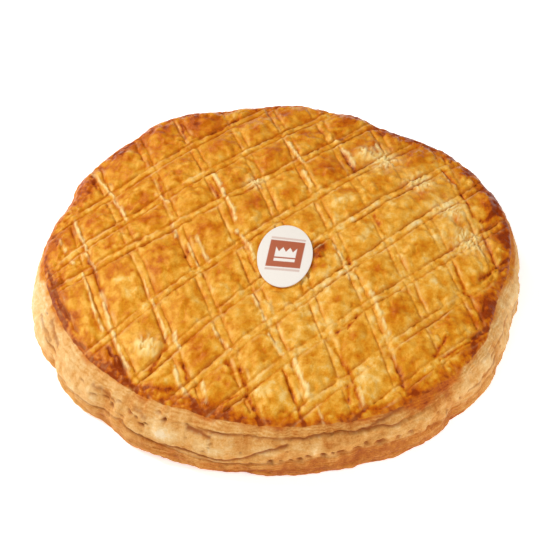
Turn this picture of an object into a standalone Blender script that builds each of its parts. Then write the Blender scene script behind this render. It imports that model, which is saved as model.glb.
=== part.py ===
"""Galette des rois: a round, domed puff pastry with a scored and glazed crust, and the oval paper
label that lies on it.

The shape is worked out in millimetres with the rim's centre on the Z axis, and becomes metres when
the meshes are made.  +Z is up and the pastry stands on z = 0.  Angles run anticlockwise from +X.
"""

import math

import bmesh
import bpy
import numpy as np
from mathutils import Vector
from mathutils.geometry import delaunay_2d_cdt

MM = 0.001

# Pastry
RIM_RADIUS = 120.5      # the crust's edge, seen from above
RIM_HEIGHT = 26.0       # the crust's edge above the table
CROWN_HEIGHT = 35.0     # the smooth dome's top
DOME_POWER = 2.5        # how late the dome turns down towards the edge
EDGE_ROLL = 3.2         # radius of the crust's rounded edge
SEAM_HEIGHT = 11.0      # where the upper sheet of pastry lies on the lower one

# Unevenness round the pastry: millimetres, waves in a full turn, degrees
RIM_WAVES = ((0.7, 3, 40), (0.5, 7, 0))
SEAM_WAVES = ((1.2, 4, 75), (0.6, 9, 0))
SIDE_WAVES = ((0.5, 11, 30),)

# Unevenness of the dome: a broad swell, bent along Y, and a ripple across it.  Heights are
# millimetres, lengths are millimetres for each radian, starts and the bend are radians
DOME_SWELL = 0.6
DOME_SWELL_X = 19
DOME_SWELL_Y = 23
DOME_SWELL_START = 1.1
DOME_SWELL_BEND = 0.6
DOME_SWELL_BEND_Y = 31
DOME_RIPPLE = 0.35
DOME_RIPPLE_LENGTH = 13
DOME_RIPPLE_START = 2.0

# Score cuts, made in pairs by a tool with two blades
BLADE_GAP = 4.6         # between the two cuts of a pair
CUT_HALF_WIDTH = 1.5
CUT_DEPTH = 1.5
TILE_PUFF = 1.1         # how far the crust swells between the pairs
PUFF_POWER = 0.5        # how fast it swells away from them
CUT_FADE = 8.0          # the cuts grow shallow over this distance from the edge
EDGE_CUT_SHARE = 0.3    # and have this share of their depth at the edge itself
OUTER_TILE_LINE = 12.0  # a mesh line this far outside each family's first and last pair

# Steep pairs, left to right: x = offset + slope * y + bend * y * y
STEEP_PAIRS = (
    (-127.4, -0.400, 0.0),
    (-103.5, -0.280, 0.00085),
    (-78.4, -0.352, 0.0),
    (-50.4, -0.330, 0.0),
    (-23.1, -0.310, -0.0002),
    (2.2, -0.290, 0.0),
    (28.0, -0.290, 0.0),
    (54.3, -0.315, 0.0),
    (81.5, -0.300, 0.0),
    (105.0, -0.245, 0.0),
)

# Rising pairs, front to back: y = offset + slope * x + bend * x * x
RISING_PAIRS = (
    (-145.3, 0.870, 0.0),
    (-119.2, 0.870, 0.0004),
    (-84.3, 0.883, 0.0),
    (-53.7, 0.955, 0.0),
    (-20.0, 0.980, -0.0006),
    (17.0, 0.925, -0.0004),
    (55.8, 0.850, 0.0010),
    (88.0, 0.870, 0.0),
    (125.0, 0.940, 0.0),
)

# Where the rim stands out from its circle or falls short of it: degrees, half width, millimetres
RIM_LOBES = (
    (16, 9, 2.0),
    (30, 6, 0.7),
    (47, 9, 2.6),
    (57, 8, -5.6),
    (71, 5, 0.6),
    (76, 3, -2.8),
    (88, 11, 3.0),
    (94, 7, 1.8),
    (97, 4, -1.5),
    (107, 4, -2.0),
    (121, 10, 5.3),
    (134, 5, -1.3),
    (148, 8, 2.0),
    (162, 4, -2.2),
    (182, 8, 3.2),
    (212, 14, 1.5),
    (249, 5, -1.0),
    (342, 9, -5.2),
)

# How far the side swells past the rim, round the pastry: degrees, millimetres
SIDE_BULGE = (
    (0, 4.2),
    (12, 2.4),
    (40, 2.2),
    (70, 4.0),
    (150, 4.4),
    (172, 2.0),
    (180, 3.2),
    (188, 7.4),
    (195, 9.2),
    (204, 9.0),
    (212, 10.2),
    (230, 10.3),
    (240, 12.0),
    (250, 12.5),
    (267, 8.5),
    (305, 8.0),
    (316, 6.0),
    (330, 6.4),
    (342, 7.2),
    (350, 7.0),
    (360, 4.2),
)

# Upright creases between the lobes of the side: degrees, half width, millimetres
SIDE_CREASES = (
    (76, 2.5, 1.8),
    (118, 2.2, 1.2),
    (148, 2.5, 1.8),
    (174, 2.0, 1.2),
    (208.5, 2.2, 3.2),
    (228.5, 2.2, 2.6),
    (262, 2.0, 1.2),
    (311, 2.2, 1.8),
    (330, 2.0, 1.6),
)

# The side from the table up to the seam and from the seam up to the rim: share of that height, and
# share of the bulge there
LOWER_SHEET = ((0.0, 0.70), (0.10, 0.90), (0.45, 1.0), (0.85, 0.97))
UPPER_SHEET = ((0.0, 0.76), (0.16, 1.0), (0.48, 0.92), (0.76, 0.50))

# Label
LABEL_CENTRE = (1.7, -14.2)
LABEL_SEMI_AXES = (14.1, 22.3)
LABEL_TURN = -5.0       # degrees
LABEL_THICKNESS = 0.6
LABEL_LIFT = 0.4        # clear of the highest tile under it

# Mesh
RIM_STEPS = 168
ROLL_ANGLES = (72, 42, 14)     # rings round the rounded edge, degrees down from its side
CROSSING_CLEARANCE = 1.6       # crossings of mesh lines nearer than this to the first ring go
CROSSING_ROUNDS = 40           # rounds in which the crossings settle
LABEL_STEPS = 48
LABEL_RINGS = 4
INSIDE_EDGES = 1               # which triangles Blender's triangulation keeps: those inside the ring
MERGE_DISTANCE = 1e-4
SHARP_ANGLE = 40               # degrees between faces from which an edge is shaded sharp

# Materials
CRUST_COLOUR = (0.66, 0.27, 0.045, 1.0)
CRUST_ROUGHNESS = 0.45
LABEL_COLOUR = (0.80, 0.76, 0.70, 1.0)
LABEL_ROUGHNESS = 0.7


def swell(angle, centre, half_width):
    """One smooth bump round the circle, 1 high at its centre; angles in degrees."""
    away = (angle - centre + 180) % 360 - 180
    return np.exp(-0.5 * (away / half_width) ** 2)


def waves(angle, table):
    return sum(size * np.sin(np.radians(turns * angle + start)) for size, turns, start in table)


def rim_radius(angle):
    return RIM_RADIUS + sum(size * swell(angle, centre, width) for centre, width, size in RIM_LOBES)


def rim_height(angle):
    return RIM_HEIGHT + waves(angle, RIM_WAVES)


def seam_height(angle):
    return SEAM_HEIGHT + waves(angle, SEAM_WAVES)


def side_radius(angle, share):
    """The side's radius at a height where it shows this share of its bulge and creases."""
    bulge = np.interp(angle, *zip(*SIDE_BULGE))
    crease = sum(depth * swell(angle, centre, width) for centre, width, depth in SIDE_CREASES)
    return rim_radius(angle) + share * (bulge + waves(angle, SIDE_WAVES) - crease)


def polar(x, y):
    return np.degrees(np.arctan2(y, x)), np.hypot(x, y)


def crown(x, y):
    """The smooth dome, before edge, cuts and tiles."""
    angle, r = polar(x, y)
    fall = (CROWN_HEIGHT - rim_height(angle)) * (r / rim_radius(angle)) ** DOME_POWER
    bend = DOME_SWELL_BEND * np.sin(y / DOME_SWELL_BEND_Y)
    along = np.cos(y / DOME_SWELL_Y + DOME_SWELL_START)
    broad = DOME_SWELL * np.sin(x / DOME_SWELL_X + bend) * along
    ripple = DOME_RIPPLE * np.sin((x + y) / DOME_RIPPLE_LENGTH + DOME_RIPPLE_START)
    return CROWN_HEIGHT - fall + broad + ripple


def pair_distances(along, across, pairs):
    """Signed distance of points from each pair's centre line: a (points, pairs) array."""
    offset, slope, bend = np.array(pairs).T
    middle = offset + slope * along[:, None] + bend * along[:, None] ** 2
    return (across[:, None] - middle) / np.sqrt(1 + slope**2)


def cut_and_puff(distances):
    """Depth of the nearest cut, and the share of the swelling between two pairs, for one family."""
    to_cut = np.abs(np.abs(distances) - BLADE_GAP / 2).min(axis=1)
    depth = CUT_DEPTH * np.clip(1 - to_cut / CUT_HALF_WIDTH, 0, 1)
    from_pair = np.abs(distances).min(axis=1) - BLADE_GAP / 2
    puff = np.clip(from_pair / OUTER_TILE_LINE, 0, 1) ** PUFF_POWER
    return depth, puff


def crust_height(x, y):
    """The crust's top surface."""
    angle, r = polar(x, y)
    inside = np.maximum(rim_radius(angle) - r, 0)
    steep_depth, steep_puff = cut_and_puff(pair_distances(y, x, STEEP_PAIRS))
    rising_depth, rising_puff = cut_and_puff(pair_distances(x, y, RISING_PAIRS))
    fade = np.clip(inside / CUT_FADE, EDGE_CUT_SHARE, 1)
    roll = np.clip(EDGE_ROLL - inside, 0, EDGE_ROLL)
    rounded = EDGE_ROLL - np.sqrt(EDGE_ROLL**2 - roll**2)
    relief = TILE_PUFF * steep_puff * rising_puff - np.maximum(steep_depth, rising_depth)
    return crown(x, y) + fade * relief - rounded


def mesh_lines(pairs):
    """Lines for the mesh to follow, as (offset, slope, bend): shoulder, cut, ridge, cut and shoulder
    of each pair, one between neighbouring pairs and one outside the first and the last."""
    shoulder = BLADE_GAP / 2 + CUT_HALF_WIDTH
    lines = []
    for number, (offset, slope, bend) in enumerate(pairs):
        stretch = math.sqrt(1 + slope**2)
        if number == 0:
            lines.append((offset - OUTER_TILE_LINE * stretch, slope, bend))
        else:
            before = pairs[number - 1]
            lines.append(tuple((a + b) / 2 for a, b in zip(before, pairs[number])))
        for away in (-shoulder, -BLADE_GAP / 2, 0, BLADE_GAP / 2, shoulder):
            lines.append((offset + away * stretch, slope, bend))
    offset, slope, bend = pairs[-1]
    lines.append((offset + OUTER_TILE_LINE * math.sqrt(1 + slope**2), slope, bend))
    return np.array(lines)


def crossings(steep, rising):
    """Where every steep line crosses every rising line: x and y arrays, one row per steep line."""
    sa, ss, sb = (column[:, None] for column in steep.T)
    ra, rs, rb = (column[None, :] for column in rising.T)
    x = np.zeros((len(steep), len(rising)))
    y = x
    for _ in range(CROSSING_ROUNDS):
        y = ra + rs * x + rb * x**2
        x = sa + ss * y + sb * y**2
    return x, y


def ring(radius_at):
    """Points round the pastry at a radius given as a function of the angle."""
    angle = np.arange(RIM_STEPS) * 360 / RIM_STEPS
    radius = radius_at(angle)
    return angle, radius * np.cos(np.radians(angle)), radius * np.sin(np.radians(angle))


def crust_plan():
    """The crust inside its rounded edge, seen from above: points and triangles.  The points of the
    first ring come first."""
    first = EDGE_ROLL * (1 - math.cos(math.radians(ROLL_ANGLES[0])))
    _, ring_x, ring_y = ring(lambda angle: rim_radius(angle) - first)
    x, y = crossings(mesh_lines(STEEP_PAIRS), mesh_lines(RISING_PAIRS))
    angle, r = polar(x, y)
    kept = rim_radius(angle) - r > first + CROSSING_CLEARANCE
    index = np.full(x.shape, -1)
    index[kept] = RIM_STEPS + np.arange(kept.sum())
    edges = [(i, (i + 1) % RIM_STEPS) for i in range(RIM_STEPS)]
    for a, b in ((index[:-1], index[1:]), (index[:, :-1], index[:, 1:])):
        both = (a >= 0) & (b >= 0)
        edges += list(zip(a[both].tolist(), b[both].tolist()))
    points = np.concatenate([np.stack([ring_x, ring_y], axis=1), np.stack([x[kept], y[kept]], axis=1)])
    found = delaunay_2d_cdt([Vector(p) for p in points], edges, [], INSIDE_EDGES, MERGE_DISTANCE)
    return np.array(found[0]), [list(face) for face in found[2]]


def side_rings():
    """The rings below the crust's flat part: round its edge, down the side, to the table."""
    rings = []
    for degrees in ROLL_ANGLES[1:]:
        inset = EDGE_ROLL * (1 - math.cos(math.radians(degrees)))
        drop = EDGE_ROLL * (1 - math.sin(math.radians(degrees)))
        _, x, y = ring(lambda a, inset=inset: rim_radius(a) - inset)
        rings.append((x, y, crown(x, y) - drop))
    for height, bulge in reversed(UPPER_SHEET):
        angle, x, y = ring(lambda a, bulge=bulge: side_radius(a, bulge))
        seam = seam_height(angle)
        rings.append((x, y, seam + height * (rim_height(angle) - seam)))
    for height, bulge in reversed(LOWER_SHEET):
        angle, x, y = ring(lambda a, bulge=bulge: side_radius(a, bulge))
        rings.append((x, y, height * seam_height(angle)))
    return rings


def box_centre():
    """The middle of the pastry's plan, which becomes the origin."""
    _, x, y = ring(lambda angle: side_radius(angle, 1.0))
    return (x.min() + x.max()) / 2, (y.min() + y.max()) / 2


def pastry_mesh():
    plan, faces = crust_plan()
    heights = crust_height(plan[:, 0], plan[:, 1])
    points = [np.column_stack([plan, heights])]
    upper = list(range(RIM_STEPS))
    count = len(plan)
    for x, y, z in side_rings():
        points.append(np.column_stack([x, y, z]))
        lower = list(range(count, count + RIM_STEPS))
        for i in range(RIM_STEPS):
            j = (i + 1) % RIM_STEPS
            faces.append([upper[i], lower[i], lower[j], upper[j]])
        upper = lower
        count += RIM_STEPS
    faces.append(upper[::-1])
    return np.concatenate(points), faces


def label_mesh():
    """A thin oval that follows the dome just above the tiles."""
    turn = math.radians(LABEL_TURN)
    points = []
    for layer in (0, LABEL_THICKNESS):
        for step in range(LABEL_RINGS + 1):
            share = step / LABEL_RINGS
            for i in range(LABEL_STEPS if step else 1):
                a = 2 * math.pi * i / LABEL_STEPS
                u = share * LABEL_SEMI_AXES[0] * math.cos(a)
                v = share * LABEL_SEMI_AXES[1] * math.sin(a)
                x = LABEL_CENTRE[0] + u * math.cos(turn) - v * math.sin(turn)
                y = LABEL_CENTRE[1] + u * math.sin(turn) + v * math.cos(turn)
                z = float(crown(np.array([x]), np.array([y]))[0]) + TILE_PUFF + LABEL_LIFT + layer
                points.append((x, y, z))
    per_layer = 1 + LABEL_RINGS * LABEL_STEPS
    faces = []
    for i in range(LABEL_STEPS):
        j = (i + 1) % LABEL_STEPS
        faces.append([0, 1 + j, 1 + i])
        faces.append([per_layer, per_layer + 1 + i, per_layer + 1 + j])
        for step in range(1, LABEL_RINGS):
            inner = 1 + (step - 1) * LABEL_STEPS
            outer = inner + LABEL_STEPS
            faces.append([inner + i, inner + j, outer + j, outer + i])
            top = [inner + j, inner + i, outer + i, outer + j]
            faces.append([per_layer + k for k in top])
        edge = 1 + (LABEL_RINGS - 1) * LABEL_STEPS
        faces.append([edge + i, edge + j, per_layer + edge + j, per_layer + edge + i])
    return np.array(points), faces


def material(name, colour, roughness):
    made = bpy.data.materials.new(name)
    made.use_nodes = True
    shader = made.node_tree.nodes["Principled BSDF"]
    shader.inputs["Base Color"].default_value = colour
    shader.inputs["Roughness"].default_value = roughness
    shader.inputs["Metallic"].default_value = 0.0
    return made


def add_object(name, mesh_data, made_of):
    """A mesh object from points in millimetres, moved so that the pastry's middle is at the origin."""
    points, faces = mesh_data
    middle = np.array([*box_centre(), 0.0])
    mesh = bpy.data.meshes.new(name)
    mesh.from_pydata(((points - middle) * MM).tolist(), [], faces)
    work = bmesh.new()
    work.from_mesh(mesh)
    bmesh.ops.recalc_face_normals(work, faces=work.faces)
    work.to_mesh(mesh)
    work.free()
    mesh.shade_smooth()
    mesh.set_sharp_from_angle(angle=math.radians(SHARP_ANGLE))
    mesh.materials.append(made_of)
    made = bpy.data.objects.new(name, mesh)
    bpy.context.scene.collection.objects.link(made)
    return made


for old in list(bpy.data.objects):
    bpy.data.objects.remove(old, do_unlink=True)

add_object("galette", pastry_mesh(), material("crust", CRUST_COLOUR, CRUST_ROUGHNESS))
add_object("label", label_mesh(), material("paper", LABEL_COLOUR, LABEL_ROUGHNESS))
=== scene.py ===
"""Looks of the galette des rois: its scored and glazed crust, layered side, baked underside and
paper label.

Shapes are worked out in millimetres round the rim's centre, as the CAD model's are, and placed by
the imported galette's own box.  Angles run anticlockwise from +X, in degrees.
"""

import math

import bpy
import numpy as np
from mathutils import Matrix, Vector
from mathutils.geometry import delaunay_2d_cdt


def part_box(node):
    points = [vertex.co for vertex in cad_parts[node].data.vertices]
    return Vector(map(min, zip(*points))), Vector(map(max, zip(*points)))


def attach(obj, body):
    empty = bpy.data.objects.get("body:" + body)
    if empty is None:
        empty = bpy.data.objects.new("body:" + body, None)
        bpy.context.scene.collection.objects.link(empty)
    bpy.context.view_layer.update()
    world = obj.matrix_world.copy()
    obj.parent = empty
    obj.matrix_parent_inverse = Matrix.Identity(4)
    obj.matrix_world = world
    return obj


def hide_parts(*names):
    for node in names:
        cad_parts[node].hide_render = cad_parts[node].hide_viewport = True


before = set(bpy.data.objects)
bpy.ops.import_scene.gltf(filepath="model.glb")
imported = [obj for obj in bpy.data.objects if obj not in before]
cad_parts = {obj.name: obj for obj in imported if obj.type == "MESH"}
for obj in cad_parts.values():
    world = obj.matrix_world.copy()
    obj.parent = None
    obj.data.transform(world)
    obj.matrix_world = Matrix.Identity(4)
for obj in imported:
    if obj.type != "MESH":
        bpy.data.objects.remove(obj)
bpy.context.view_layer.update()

MM = 0.001

# ---------------------------------------------------------------- sizes shared with the CAD model

RIM_RADIUS = 120.5
RIM_HEIGHT = 26.0
CROWN_HEIGHT = 35.0
DOME_POWER = 2.5
EDGE_ROLL = 3.2
SEAM_HEIGHT = 11.0
RIM_WAVES = ((0.7, 3, 40), (0.5, 7, 0))
SEAM_WAVES = ((1.2, 4, 75), (0.6, 9, 0))
SIDE_WAVES = ((0.5, 11, 30),)
DOME_SWELL = 0.6
DOME_SWELL_X = 19
DOME_SWELL_Y = 23
DOME_SWELL_START = 1.1
DOME_SWELL_BEND = 0.6
DOME_SWELL_BEND_Y = 31
DOME_RIPPLE = 0.35
DOME_RIPPLE_LENGTH = 13
DOME_RIPPLE_START = 2.0
BLADE_GAP = 4.6
TILE_PUFF = 1.1
CUT_FADE = 8.0
OUTER_TILE_LINE = 12.0

# Pairs of cuts: offset, slope, bend.  Steep ones are x = offset + slope * y + bend * y * y.
STEEP_PAIRS = (
    (-127.4, -0.400, 0.0), (-103.5, -0.280, 0.00085), (-78.4, -0.352, 0.0), (-50.4, -0.330, 0.0),
    (-23.1, -0.310, -0.0002), (2.2, -0.290, 0.0), (28.0, -0.290, 0.0), (54.3, -0.315, 0.0),
    (81.5, -0.300, 0.0), (105.0, -0.245, 0.0),
)

# Rising ones are y = offset + slope * x + bend * x * x.
RISING_PAIRS = (
    (-145.3, 0.870, 0.0), (-119.2, 0.870, 0.0004), (-84.3, 0.883, 0.0), (-53.7, 0.955, 0.0),
    (-20.0, 0.980, -0.0006), (17.0, 0.925, -0.0004), (55.8, 0.850, 0.0010), (88.0, 0.870, 0.0),
    (125.0, 0.940, 0.0),
)

# Degrees, half width, millimetres
RIM_LOBES = (
    (16, 9, 2.0), (30, 6, 0.7), (47, 9, 2.6), (57, 8, -5.6), (71, 5, 0.6), (76, 3, -2.8),
    (88, 11, 3.0), (94, 7, 1.8), (97, 4, -1.5), (107, 4, -2.0), (121, 10, 5.3), (134, 5, -1.3),
    (148, 8, 2.0), (162, 4, -2.2), (182, 8, 3.2), (212, 14, 1.5), (249, 5, -1.0), (342, 9, -5.2),
)

# Degrees, millimetres
SIDE_BULGE = (
    (0, 4.2), (12, 2.4), (40, 2.2), (70, 4.0), (150, 4.4), (172, 2.0), (180, 3.2), (188, 7.4),
    (195, 9.2), (204, 9.0), (212, 10.2), (230, 10.3), (240, 12.0), (250, 12.5), (267, 8.5),
    (305, 8.0), (316, 6.0), (330, 6.4), (342, 7.2), (350, 7.0), (360, 4.2),
)

# Degrees, half width, millimetres
SIDE_CREASES = (
    (76, 2.5, 1.8), (118, 2.2, 1.2), (148, 2.5, 1.8), (174, 2.0, 1.2), (208.5, 2.2, 3.2),
    (228.5, 2.2, 2.6), (262, 2.0, 1.2), (311, 2.2, 1.8), (330, 2.0, 1.6),
)

LABEL_CENTRE = (1.7, -14.2)
LABEL_SEMI_AXES = (14.1, 22.3)
LABEL_TURN = -5.0
LABEL_THICKNESS = 0.6
LABEL_LIFT = 0.4

# ---------------------------------------------------------------- sizes of the fine work

# Mesh lines beside each cut, millimetres from its bottom
CUT_LINES = (-1.4, -0.75, -0.35, 0.0, 0.4, 0.9, 1.6)
RIDGE_LINES = 1          # more lines between the two cuts of a pair
TILE_LINES = 17          # more lines between two pairs
TILE_LINE_GAP = 0.9      # outside the first and last pair

CUT_RELIEF = 0.75        # usual depth of a cut
SHUT_WALL = 0.60         # width of the wall on the side that the blade pressed down
TORN_WALL = 0.90         # width of the other wall, which is torn open and pale and faces the key light; its pale colour is partly painted highlight
# How far a cut strays from its smooth line: millimetres, over this many millimetres
STRAYS = ((0.55, 17.0), (0.26, 4.5), (0.12, 1.9))

COLUMNS = 1200           # points round the rim and the side
LATTICE_INSET = 4.4      # the lattice mesh ends this far inside the rim
# Rings round the rim: millimetres inside it, from the lattice's end to where the side begins
RIM_INSETS = (4.2, 3.5, 2.9, 2.4, 1.95, 1.55, 1.2, 0.9)
PLAN_STEPS = 168         # points round the CAD model, whose middle is the frame's origin


# ---------------------------------------------------------------- noise

def hashed(ix, iy, seed):
    """A fixed number from 0 to 1 for each pair of whole numbers."""
    n = (ix * 374761393 + iy * 668265263 + seed * 974634777) & 0xFFFFFFFF
    n = ((n ^ (n >> 13)) * 1274126177) & 0xFFFFFFFF
    n = ((n ^ (n >> 16)) * 2246822519) & 0xFFFFFFFF
    return ((n ^ (n >> 15)) & 0xFFFFFF) / 0xFFFFFF


def noise(x, y, seed, period=None):
    """Smooth noise from about -1 to 1 with features about one unit across.  It repeats after the
    period along x."""
    x, y = np.broadcast_arrays(x, y)
    ix, iy = np.floor(x).astype(np.int64), np.floor(y).astype(np.int64)
    fx, fy = x - ix, y - iy
    total = np.zeros(x.shape)
    for dx in (0, 1):
        for dy in (0, 1):
            column = ix + dx
            if period:
                column = column % period
            angle = 2 * math.pi * hashed(column, iy + dy, seed)
            slope = np.cos(angle) * (fx - dx) + np.sin(angle) * (fy - dy)
            total += slope * eased(1 - abs(fx - dx)) * eased(1 - abs(fy - dy))
    return 1.5 * total


def eased(t):
    return t * t * t * (t * (t * 6 - 15) + 10)


def layered(x, y, seed, octaves=3, period=None):
    """Noise with finer noise on it."""
    total = 0.0
    for octave in range(octaves):
        finer = 2**octave
        again = period * finer if period else None
        total = total + noise(x * finer, y * finer, seed + octave, again) / finer
    return total


def step(x, low, high):
    """0 below low, 1 above high, smooth between."""
    t = np.clip((x - low) / (high - low), 0, 1)
    return t * t * (3 - 2 * t)


# ---------------------------------------------------------------- the pastry's outline

def swell(angle, centre, half_width):
    away = (angle - centre + 180) % 360 - 180
    return np.exp(-0.5 * (away / half_width) ** 2)


def waves(angle, table):
    return sum(size * np.sin(np.radians(turns * angle + start)) for size, turns, start in table)


def smooth_rim(angle):
    return RIM_RADIUS + sum(size * swell(angle, centre, width) for centre, width, size in RIM_LOBES)


def ragged_rim(angle):
    """The rim with its small unevenness."""
    turn = angle / 360
    uneven = 0.45 * noise(turn * 90, 0.5, 11, 90) + 0.25 * noise(turn * 300, 0.5, 12, 300)
    return smooth_rim(angle) + uneven


def rim_height(angle):
    return RIM_HEIGHT + waves(angle, RIM_WAVES)


def seam_height(angle):
    return SEAM_HEIGHT + waves(angle, SEAM_WAVES)


def side_swell(angle):
    """How far the side stands out past the rim where its bulge is full."""
    bulge = np.interp(angle, *zip(*SIDE_BULGE))
    crease = sum(depth * swell(angle, centre, width) for centre, width, depth in SIDE_CREASES)
    return bulge + waves(angle, SIDE_WAVES) - crease


def polar(x, y):
    return np.degrees(np.arctan2(y, x)) % 360, np.hypot(x, y)


def placed(angle, radius):
    return radius * np.cos(np.radians(angle)), radius * np.sin(np.radians(angle))


def plan_centre():
    """The middle of the pastry's plan, which lies at the frame's origin."""
    angle = np.arange(PLAN_STEPS) * 360 / PLAN_STEPS
    x, y = placed(angle, smooth_rim(angle) + side_swell(angle))
    return (x.min() + x.max()) / 2, (y.min() + y.max()) / 2


galette_low, galette_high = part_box("galette")
galette_middle = (galette_low + galette_high) / 2 / MM
plan_x, plan_y = plan_centre()
ORIGIN = np.array([galette_middle.x - plan_x, galette_middle.y - plan_y, galette_low.z / MM])


def crown(x, y):
    """The smooth dome, before edge, cuts and tiles."""
    angle, r = polar(x, y)
    fall = (CROWN_HEIGHT - rim_height(angle)) * (r / smooth_rim(angle)) ** DOME_POWER
    bend = DOME_SWELL_BEND * np.sin(y / DOME_SWELL_BEND_Y)
    along = np.cos(y / DOME_SWELL_Y + DOME_SWELL_START)
    broad = DOME_SWELL * np.sin(x / DOME_SWELL_X + bend) * along
    ripple = DOME_RIPPLE * np.sin((x + y) / DOME_RIPPLE_LENGTH + DOME_RIPPLE_START)
    return CROWN_HEIGHT - fall + broad + ripple


# ---------------------------------------------------------------- the scoring

class Cuts:
    """One family of cuts.  Cut number i runs where across = middle(i, along)."""

    def __init__(self, pairs, seed):
        blade = BLADE_GAP / 2
        rows = []
        for offset, slope, bend in pairs:
            stretch = math.sqrt(1 + slope * slope)
            rows.append((offset - blade * stretch, slope, bend))
            rows.append((offset + blade * stretch, slope, bend))
        self.rows = np.array(rows)
        self.seed = seed

    def middle(self, cut, along):
        offset, slope, bend = np.moveaxis(self.rows[cut], -1, 0)
        stray = 0.0
        for number, (size, length) in enumerate(STRAYS):
            stray = stray + size * noise(along / length, cut * 3.7, self.seed + number)
        return offset + slope * along + bend * along**2 + stray

    def distances(self, along, across):
        """Signed distance of points from every cut: a (points, cuts) array."""
        cut = np.arange(len(self.rows))[None, :]
        stretch = np.sqrt(1 + self.rows[:, 1] ** 2)
        return (across[:, None] - self.middle(cut, along[:, None])) / stretch

    def mesh_lines(self):
        """Lines for the mesh, as (first cut, second cut, share, millimetres from each)."""
        lines = []
        reach = int(OUTER_TILE_LINE * 3 / TILE_LINE_GAP)
        for j in range(reach, 0, -1):
            lines.append((0, 0, 0.0, CUT_LINES[0] - j * TILE_LINE_GAP, 0.0))
        last = len(self.rows) - 1
        for cut in range(last + 1):
            for away in CUT_LINES:
                lines.append((cut, cut, 0.0, away, away))
            if cut < last:
                between = TILE_LINES if cut % 2 else RIDGE_LINES
                for j in range(between):
                    share = (j + 1) / (between + 1)
                    lines.append((cut, cut + 1, share, CUT_LINES[-1], CUT_LINES[0]))
        for j in range(reach):
            lines.append((last, last, 0.0, CUT_LINES[-1] + (j + 1) * TILE_LINE_GAP, 0.0))
        return np.array(lines)

    def line_at(self, lines, along):
        first, second = lines[:, 0].astype(int), lines[:, 1].astype(int)
        shape = (len(lines),) + (1,) * (along.ndim - 1)
        share = lines[:, 2].reshape(shape)
        stretch = np.sqrt(1 + self.rows[first, 1] ** 2).reshape(shape)
        one = self.middle(first.reshape(shape), along) + stretch * lines[:, 3].reshape(shape)
        two = self.middle(second.reshape(shape), along) + stretch * lines[:, 4].reshape(shape)
        return (1 - share) * one + share * two


STEEP = Cuts(STEEP_PAIRS, 31)
RISING = Cuts(RISING_PAIRS, 41)


def along_cut(family, cut, along, feature, seed):
    return noise(along[:, None] / feature, cut[None, :] * 5.3, family.seed + seed)


def relief_of(family, along, across, torn_lit_side):
    """One family's cuts at these points: depth, share of a dark bottom line, which is browner glaze and
    painted shade, share of a pale wall, which is pale torn dough and painted highlight on the side
    facing the key light, puff, 0 on a pair and 1 midway between two, share of the ridge between a
    pair's cuts, the height of the beads along that ridge, and 1 on a pair or close beside it."""
    away = family.distances(along, across)
    cut = np.arange(away.shape[1])
    pair_middle = (away[:, 0::2] + away[:, 1::2]) / 2
    from_pair = np.abs(pair_middle).min(axis=1) - BLADE_GAP / 2
    away = away * torn_lit_side
    open_wall = TORN_WALL * (1 + 0.4 * along_cut(family, cut, along, 7, 5))
    wall = np.where(away < 0, SHUT_WALL, open_wall)
    deep = 0.80 + 0.8 * along_cut(family, cut, along, 10, 12)
    deep = np.clip(deep + 0.6 * along_cut(family, cut, along, 37, 13), 0.05, 1.4)
    depth = (CUT_RELIEF * deep * np.exp(-((away / wall) ** 2))).max(axis=1)
    dark = np.clip(0.65 * deep + 0.55 * along_cut(family, cut, along, 7, 3), 0.0, 0.95)
    line = (dark * np.exp(-(((away + 0.15) / 0.62) ** 2))).max(axis=1)
    torn_and_highlight = np.clip(0.25 + 1.2 * along_cut(family, cut, along, 8, 4), 0, 1)
    at = 1.0 + 0.4 * along_cut(family, cut, along, 4, 6)
    wide = 0.60 + 0.25 * along_cut(family, cut, along, 5, 7)
    pale = (torn_and_highlight * np.exp(-(((away - at) / wide) ** 2))).max(axis=1)
    puff = np.clip(from_pair / OUTER_TILE_LINE, 0, 1) ** 0.5
    ridge = step(-from_pair, 0.2, 1.4)
    pair = np.abs(pair_middle).argmin(axis=1)
    beads = ridge * (0.05 + 0.50 * noise(along / 2.7, pair * 7.1, family.seed + 14))
    band = step(-from_pair, -1.8, 0.2)
    return depth, line, pale, puff, ridge, beads, band
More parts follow.
